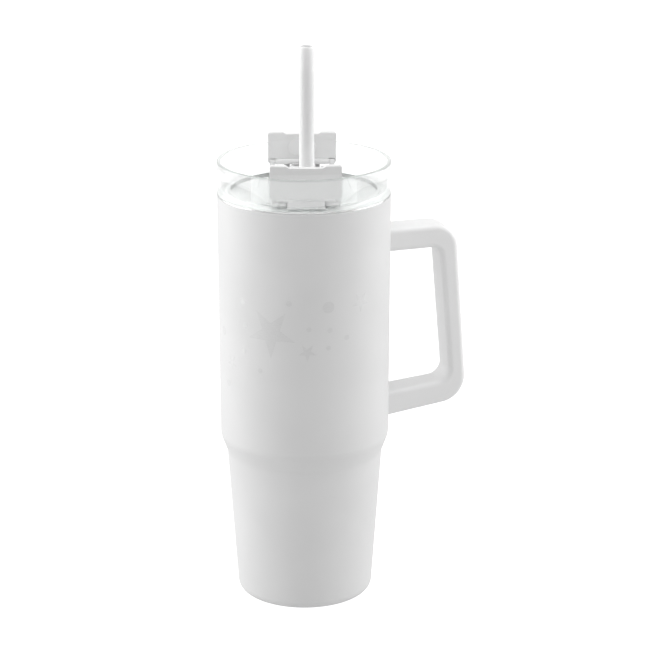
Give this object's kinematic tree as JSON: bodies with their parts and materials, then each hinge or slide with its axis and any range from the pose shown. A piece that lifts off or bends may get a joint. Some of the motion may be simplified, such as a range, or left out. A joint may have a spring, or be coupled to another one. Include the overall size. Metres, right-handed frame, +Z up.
{
  "type": "insulated tumbler with lid",
  "caption": "Tall insulated tumbler with a tapered foot, side handle, clear splash-ring lid with upright flip flaps, and a straight straw.",
  "frame": {"origin": "centre of the base pad's resting face, on the body's axis", "axes": "+Z up along the body's axis, +X from the axis towards the handle; the lid's flaps lie near -Y (front) and +Y (rear), turned 15 degrees clockwise seen from above"},
  "size_m": [0.147, 0.0998, 0.3284],
  "materials": {
    "shell_coat": "smooth satin white powder coat on steel",
    "liner_steel": "electropolished stainless steel",
    "bare_steel": "plain stainless steel",
    "solder": "dull grey sealing bead",
    "pad_silicone": "matte white silicone",
    "seal_silicone": "matte translucent white silicone",
    "handle_plastic": "satin white moulded plastic",
    "lid_plastic": "satin white moulded plastic",
    "straw_plastic": "smooth white plastic, slightly translucent",
    "clear_lid": "clear glossy moulded plastic"
  },
  "bodies": {
    "tumbler": {"outer_shell": "shell_coat", "inner_liner": "liner_steel", "base_plate": "bare_steel", "base_pad": "pad_silicone", "vacuum_seal": "solder", "vacuum_getter": "bare_steel", "handle_body": "handle_plastic", "upper_bracket": "bare_steel", "lower_bracket": "bare_steel", "upper_bracket_screw": "bare_steel", "lower_bracket_screw": "bare_steel"},
    "lid": {"lid_body": "clear_lid", "lid_gasket": "seal_silicone", "lid_bridge": "lid_plastic", "straw_grommet": "seal_silicone", "front_hinge_pin": "bare_steel", "rear_hinge_pin": "bare_steel"},
    "front_flap": {"front_flap": "lid_plastic", "front_flap_seal": "seal_silicone"},
    "rear_flap": {"rear_flap": "lid_plastic", "rear_flap_seal": "seal_silicone"},
    "straw": {"straw": "straw_plastic"}
  },
  "joints": [
    {"name": "lid_lift", "type": "slide", "parent": "tumbler", "child": "lid", "axis": [0, 0, 1], "range_m": [0, 0.25]},
    {"name": "straw_lift", "type": "slide", "parent": "lid", "child": "straw", "axis": [0, 0, 1], "range_m": [0, 0.245]},
    {"name": "front_flap_fold", "type": "hinge", "parent": "lid", "child": "front_flap", "pos_m": [-0.01046, -0.03902, 0.2519], "axis": [-0.9659, 0.2588, 0], "range_deg": [0, 90]},
    {"name": "rear_flap_fold", "type": "hinge", "parent": "lid", "child": "rear_flap", "pos_m": [0.01046, 0.03902, 0.2519], "axis": [0.9659, -0.2588, 0], "range_deg": [0, 90]}
  ]
}
